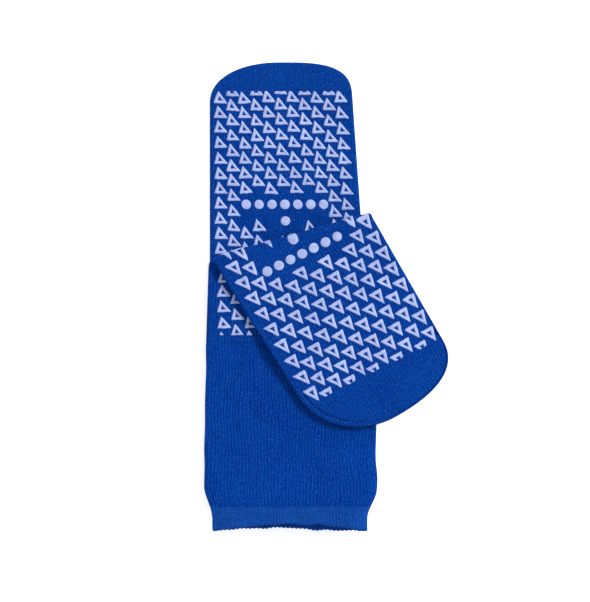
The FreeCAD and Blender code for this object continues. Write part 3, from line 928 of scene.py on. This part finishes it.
def mark_outline(rise, rng):
    """Middle of a three-sided mark with soft corners, and the points round it; its base is at 0."""
    corners = np.array([(-MARK_BASE / 2, 0.0), (MARK_BASE / 2, 0.0), (MARK_APEX, rise)])
    steps = np.arange(MARK_POINTS // 3)[:, None] / (MARK_POINTS // 3)
    points = np.concatenate([mix(corners[number - 1], corners[number], steps) for number in (1, 2, 0)])
    points = (np.roll(points, 1, 0) + 2 * points + np.roll(points, -1, 0)) / 4
    centre = corners.mean(0)
    noise = np.tile(rng.normal(size=MARK_POINTS), 3)
    wobble = 1 + 0.018 * np.convolve(noise, [1, 1, 1], "same")[MARK_POINTS:-MARK_POINTS]
    return centre, (points - centre) * wobble[:, None] * rng.uniform(1.01, 1.06)


def ring_faces(rings, around, closed):
    """Faces that join rings of points; closed joins the last ring to the first."""
    index = np.arange(rings * around).reshape(rings, around)
    last = rings if closed else rings - 1
    follow = np.roll(index, -1, 0)
    quads = np.stack([index, np.roll(index, -1, 1), np.roll(follow, -1, 1), follow], -1)
    return quads[:last].reshape(-1, 4)


class Sock:
    """Where the print of one sock goes: place(across, from_tip, side, lift) gives its points."""

    def __init__(self, place, inside, width_at, end_at):
        self.place = place
        self.inside = inside
        self.width_at = width_at
        self.end_at = end_at

    def mark(self, face, across, base, rng):
        """Points of one mark, ring by ring, or None where nothing of it is printed."""
        centre, outline = mark_outline(face["rise"], rng)
        turn = rng.normal() * 0.02
        end = self.end_at(across)
        if base < face["cut"] + LEAST_BASE or base - face["rise"] > end - LEAST_APEX:
            return None
        local = centre + np.array(MARK_SHARES)[:, None, None] * outline
        x = local[..., 0] * math.cos(turn) - local[..., 1] * math.sin(turn)
        y = local[..., 1] * math.cos(turn) + local[..., 0] * math.sin(turn)
        from_tip = np.clip(base - y, face["cut"], end)
        dome = smoothstep(np.hypot(x[0] - x[-1], from_tip[0] - from_tip[-1]) / FULL_LINE)
        heights = np.array(MARK_HEIGHTS)[:, None]
        lift = -MARK_SINK + (heights + MARK_SINK) * dome * rng.uniform(0.85, 1.1)
        columns = across + face["side"] * x / self.width_at(base)
        if self.inside(columns, from_tip) < EDGE_MARGIN:
            return None
        return self.place(columns, from_tip, face["side"], lift), columns, from_tip

    def dot(self, face, across, middle, rng):
        """Points of one round dot, ring by ring."""
        angles = np.arange(DOT_POINTS) / DOT_POINTS * TAU
        heights = np.array(DOT_HEIGHTS)[:, None] + 0 * angles
        radius = DOT_RADIUS * rng.uniform(0.95, 1.03) * (1 + 0.02 * np.sin(2 * angles + rng.uniform(0, TAU)))
        radius = np.array(DOT_SHARES)[:, None] * radius
        columns = across + face["side"] * radius * np.cos(angles) / self.width_at(middle)
        from_tip = middle + radius * np.sin(angles)
        return self.place(columns, from_tip, face["side"], heights), columns, from_tip

    def marks(self, face, seed):
        """All marks of a face: a list of (points, columns, from_tip)."""
        rng = np.random.default_rng(seed)
        found = []
        dot_across, dot_middle = self.dot_places(face)[-1]
        for number in range(MARK_COLUMNS):
            seen = mix(*face["columns"], number / (MARK_COLUMNS - 1))
            across = seen if face["side"] > 0 else 1 - seen
            base = face["start"] + face["rise"] - (number % 2) * face["row"] / 2
            bend = bend_of(face, seen)
            while base - face["rise"] < self.end_at(across) - bend:
                middle = base - face["rise"] / 2
                width = self.width_at(base)
                aside = abs(across - 0.5) * width
                beside = aside > PANEL_HALF_WIDTH
                apart = abs(middle - face["panel"]) > face["panel_half"]
                near_dot = math.hypot((across - dot_across) * width, middle - dot_middle) < SINGLE_DOT_ROOM
                if beside or (apart and not near_dot):
                    wander = 0.5 * float(waves(np.array(seen * 95), np.array(base), 45, seed + 9, 5))
                    piece = self.mark(dict(face, cut=face["cut"] + bend), across, base + bend + wander, rng)
                    if piece:
                        found.append(piece)
                base += face["row"]
        return found

    def dot_places(self, face):
        places = []
        for number in range(DOT_COUNT):
            aside = (number - (DOT_COUNT - 1) / 2) * DOT_PITCH / self.width_at(face["dots"])
            places.append((0.5 + aside, face["dots"] + bend_of(face, 0.5 + face["side"] * aside)))
        return places + [(0.5, face["dots"] + SINGLE_DOT_DROP + bend_of(face, 0.5))]

    def dots(self, face, seed):
        rng = np.random.default_rng(seed)
        return [self.dot(face, across, middle, rng) for across, middle in self.dot_places(face)]


def bend_of(face, seen):
    """How far the rows of a print stray from straight, at a share of the width seen from outside."""
    return face["bend"] * (0.14 - max(0.85 - seen, 0) ** 1.3)


def loft(name, shapes, material, closed, capped=False):
    """One mesh of many shapes, each of rings of points; closed joins each last ring to its first."""
    faces, caps, count = [], [], 0
    for shape in shapes:
        rings, around = shape.shape[:2]
        faces.append(ring_faces(rings, around, closed) + count)
        ends = np.array([np.arange(around)[::-1], np.arange(around) + (rings - 1) * around])
        caps.append(ends + count)
        count += rings * around
    groups = [np.concatenate(faces)] + ([np.concatenate(caps)] if capped else [])
    piece = new_mesh(name, np.concatenate([shape.reshape(-1, 3) for shape in shapes]), groups)
    piece.data.materials.append(material)
    return piece


def print_piece(name, shapes, body=None, nodes=()):
    """One piece of all the given marks, which are hollow, or of all the given dots, which are not."""
    shapes = [points for points, _, _ in shapes]
    hollow = len(shapes[0]) == len(MARK_SHARES)
    piece = loft(name, shapes, PRINT, hollow, not hollow)
    assign(piece, body, nodes)
    return piece


# ---- The print of the lower sock ----
def lower_foot_edges(y):
    shoulder = LOWER_TIP - LOWER_SHOULDERS[1][0]
    share = np.clip((shoulder - y) / (shoulder - FOOT_START), 0, 1)
    return LOWER_LEFT + 0 * share, mix(LOWER_TOE_RIGHT, LOWER_FOOT_RIGHT, share)


def lower_place(across, from_tip, side, lift):
    y = LOWER_TIP - from_tip
    left, right = lower_foot_edges(y)
    x = mix(left, right, across)
    z = lower_height(x, y, np.array(side)) + side * lift
    return np.stack(np.broadcast_arrays(x, y, z), -1)


def lower_inside(across, from_tip):
    """Least distance from the edge of the foot."""
    y = LOWER_TIP - from_tip
    return LOWER_FOOT.edge_distance(mix(*lower_foot_edges(y), across), y).min()


def lower_width(from_tip):
    left, right = lower_foot_edges(LOWER_TIP - from_tip)
    return float(right - left)


def lower_print():
    sock = Sock(lower_place, lower_inside, lower_width, lambda across: LOWER_TIP - PRINT_END)
    for name, face, seed in (("sole", SOLE, 1), ("instep", INSTEP, 2)):
        node = "lower_" + name
        print_piece(node + "_print", sock.marks(face, seed), "lower_sock", [node + "_tread"])
        print_piece(node + "_spots", sock.dots(face, seed), "lower_sock", [node + "_dots"])


# ---- The print of the upper sock ----
def forefoot_x(across, y):
    """X of a column in the forefoot's own frame."""
    starts = [FOLD_SLOPE * edge for edge in FOREFOOT_HEEL]
    ends = [FOREFOOT_TIP - shoulder[0] for shoulder in FOREFOOT_SHOULDERS]
    edges = []
    for number in (0, 1):
        share = np.clip((y - starts[number]) / (ends[number] - starts[number]), None, 1)
        edges.append(mix(FOREFOOT_HEEL[number], FOREFOOT_TOE[number], share))
    return mix(edges[0], edges[1], across)


def heel_fold_y(across):
    return on_fold_line(heel_fold(across))[1]


def past_fold(across, from_tip):
    """How far past the fold line a point lies, along its column: below 0 on the forefoot."""
    y = FOREFOOT_TIP - from_tip
    return FOLD_SLOPE * forefoot_x(across, y) - y


def upper_place(across, from_tip, side, lift):
    y = FOREFOOT_TIP - from_tip
    x = forefoot_x(across, y)
    past = FOLD_SLOPE * x - y
    world_x, world_y = forefoot_plan(x, y)
    fore = np.stack([world_x, world_y, forefoot_height(x, y, np.array(side)) - side * lift], -1)
    share = np.clip(past / FOLD_LENGTH, 0, 1)
    t = mix(forefoot_fold(across), heel_fold(across), share)
    angle = (0.5 - share) * math.pi
    half = HALF * rounded(loop_distance(across), EDGE_RADIUS)
    loop = fold_point(t, angle, -side * (half + lift) + loop_waves(t, angle, side))
    heel_y = heel_fold_y(across) - (past - FOLD_LENGTH)
    left, right = heel_edges(heel_y)
    heel_x = mix(left, right, across)
    heel = np.stack([heel_x, heel_y, heel_height(heel_x, heel_y, np.array(side)) + side * lift], -1)
    past = past[..., None]
    return np.where(past <= 0, fore, np.where(past < FOLD_LENGTH, loop, heel))


def upper_inside(across, from_tip):
    """Least distance from the edge of the forefoot; behind it the edges are straight."""
    y = np.maximum(FOREFOOT_TIP - from_tip, 0.0)
    return FOREFOOT.edge_distance(forefoot_x(across, y), y).min()


def upper_width(from_tip):
    y = FOREFOOT_TIP - from_tip
    return float(abs(forefoot_x(1.0, y) - forefoot_x(0.0, y)))


def upper_end(across):
    """Distance from the tip, along a column, to the line where the print ends."""
    x = forefoot_x(across, 0.0)
    return float(FOREFOOT_TIP - FOLD_SLOPE * x + FOLD_LENGTH + heel_fold_y(np.array(across)) - PRINT_END)


def sort_by_fold(shapes):
    """Shapes on the forefoot, on the loop and on the heel."""
    groups = {"forefoot": [], "loop": [], "heel": []}
    for shape in shapes:
        past = past_fold(shape[1], shape[2])
        if past.max() < 0:
            groups["forefoot"].append(shape)
        elif past.min() > FOLD_LENGTH:
            groups["heel"].append(shape)
        else:
            groups["loop"].append(shape)
    return groups


def upper_print():
    """The print of the upper sock; inside the fold, on the sole side, there is no room for any."""
    sock = Sock(upper_place, upper_inside, upper_width, upper_end)
    for name, face, seed in (("sole", UPPER_SOLE, 3), ("instep", INSTEP, 4)):
        marks = sort_by_fold(sock.marks(face, seed))
        dots = sort_by_fold(sock.dots(face, seed))
        heel, fore = "upper_heel_" + name, "forefoot_" + name
        print_piece(heel + "_print", marks["heel"], "upper_sock", [heel + "_tread"])
        print_piece(fore + "_print", marks["forefoot"], "upper_forefoot", [fore + "_tread"])
        print_piece(fore + "_spots", dots["forefoot"], "upper_forefoot", [fore + "_dots"])
        if name == "instep":
            fold_blend(print_piece("fold_print", marks["loop"]))
            fold_blend(print_piece("fold_spots", dots["loop"]))


# ---- Elastic threads in the welts ----
ELASTIC_PLACES = (0.25, 0.45, 0.65, 0.85)          # shares of the way down the welt
ELASTIC_RADIUS = 0.5


def elastic(leg, prefix, body):
    """Threads that run round inside the turned welt."""
    angles = np.arange(8)[:, None] / 8 * TAU
    line = leg.mouth_line() + CUFF_WALL / 2
    threads = []
    for share in ELASTIC_PLACES:
        path = leg.points(mix(leg.cuff_top, line, share), CUFF_WALL / 2)[0].reshape(-1, 3)
        tangent = np.roll(path, -1, 0) - np.roll(path, 1, 0)
        tangent /= np.linalg.norm(tangent, axis=1, keepdims=True)
        first = np.array([0.0, 1.0, 0.0]) - tangent[:, 1:2] * tangent
        first /= np.linalg.norm(first, axis=1, keepdims=True)
        second = np.cross(tangent, first)
        ring = np.cos(angles) * first[:, None] + np.sin(angles) * second[:, None]
        threads.append(path[:, None] + ELASTIC_RADIUS * ring)
    piece = loft(prefix + "_elastic", threads, ELASTIC, True)
    assign(piece, body, [prefix + "_cuff_elastic"])


# ---- Toe seams ----
STITCH_PITCH = 2.0
STITCH_HALF_LENGTH = 0.75
STITCH_SLANT = 0.28
STITCH_RADIUS = 0.42


def stitches(name, foot, inset_at, height, place, spans, body, node):
    """Short stitches along a line inside the edge of a toe; spans are shares of the toe's width."""
    angles = np.arange(6) / 6 * TAU
    steps = np.linspace(-1, 1, 5)
    radius = STITCH_RADIUS * np.sqrt(np.maximum(1 - steps ** 2, 0.02))[:, None]
    threads = []
    rng = np.random.default_rng(77)
    across = np.linspace(*spans, 400)
    edge_x, edge_y = foot.toe_line(across, 0.0)
    run_x, run_y = np.gradient(edge_x), np.gradient(edge_y)
    inset = inset_at(edge_x) * foot.towards / np.hypot(run_x, run_y)
    line_x, line_y = edge_x + run_y * inset, edge_y - run_x * inset
    length = np.concatenate([[0], np.cumsum(np.hypot(np.diff(line_x), np.diff(line_y)))])
    for start in np.arange(1.0, length[-1] - 2, STITCH_PITCH):
        along = start + steps * STITCH_HALF_LENGTH
        x = np.interp(along, length, line_x)
        y = np.interp(along, length, line_y)
        turn = np.array([x[-1] - x[0], y[-1] - y[0]])
        turn /= np.linalg.norm(turn)
        slant = steps * STITCH_SLANT * rng.uniform(0.4, 1.2)
        x = (x - turn[1] * slant)[:, None]
        y = (y + turn[0] * slant)[:, None]
        z = height(x, y) + radius * np.sin(angles)
        aside = radius * np.cos(angles)
        world_x, world_y = place(x - turn[1] * aside, y + turn[0] * aside)
        threads.append(np.stack([world_x, world_y, z], -1))
    piece = loft(name, threads, YARN, False)
    assign(piece, body, [node])


def seams():
    def under(x, y):
        return lower_height(x, y, np.array(-1)) + 0.1

    def above(x, y):
        return forefoot_height(x, y, np.array(-1)) + 0.02

    stitches("lower_toe_stitches", LOWER_FOOT, lambda x: SEAM_INSET + 0 * x, under,
             lambda x, y: (x, y), (0.06, 0.94), "lower_sock", "lower_toe_seam")
    stitches("forefoot_toe_stitches", FOREFOOT, forefoot_seam_inset, above,
             forefoot_plan, (0.06, 0.97), "upper_forefoot", "forefoot_toe_seam")


# ---- Stage ----
KEY_STRENGTH = 3.0
KEY_SOFTNESS = 16.0              # degrees that the light spans
KEY_DIRECTION = (-1.0, -0.60, -1.0)
CAMERA_HEIGHT = 1.7
CAMERA_OVER = (-20.15, -2.9)     # the point that the camera looks down on
VIEW_HEIGHT = 391.3              # height of the view at the socks; it is the longer side


def stage():
    scene = bpy.context.scene
    scene.view_settings.view_transform = "Standard"
    world = bpy.data.worlds.new("studio")
    scene.world = world
    world.use_nodes = True
    world.node_tree.nodes["Background"].inputs["Color"].default_value = (1.0, 1.0, 1.0, 1.0)
    world.node_tree.nodes["Background"].inputs["Strength"].default_value = 0.75
    bpy.ops.mesh.primitive_plane_add(size=6, location=(0, 0, -0.0002))
    floor = bpy.context.object
    floor.name = "floor"
    nodes = Nodes("floor")
    nodes.settle(Base_Color=(0.95, 0.95, 0.95, 1.0), Roughness=0.9,
                 Emission_Color=(1.0, 1.0, 1.0, 1.0), Emission_Strength=0.5)
    floor.data.materials.append(nodes.material)
    sun = bpy.data.lights.new("key", "SUN")
    sun.energy = KEY_STRENGTH
    sun.angle = math.radians(KEY_SOFTNESS)
    lamp = bpy.data.objects.new("key", sun)
    lamp.rotation_euler = Vector(KEY_DIRECTION).to_track_quat("-Z", "Y").to_euler()
    scene.collection.objects.link(lamp)
    lens = bpy.data.cameras.new("camera")
    lens.sensor_width = 36.0
    camera = bpy.data.objects.new("camera", lens)
    camera.location = (CAMERA_OVER[0] * MM, CAMERA_OVER[1] * MM, CAMERA_HEIGHT)
    lens.lens = lens.sensor_width * (CAMERA_HEIGHT - 0.008) / (VIEW_HEIGHT * MM)
    scene.collection.objects.link(camera)
    scene.camera = camera


# ---- The whole scene ----
lower_sock()
upper_sock()
lower_print()
upper_print()
elastic(LOWER_LEG, "lower", "lower_sock")
elastic(UPPER_LEG_TUBE, "upper", "upper_sock")
seams()
stage()
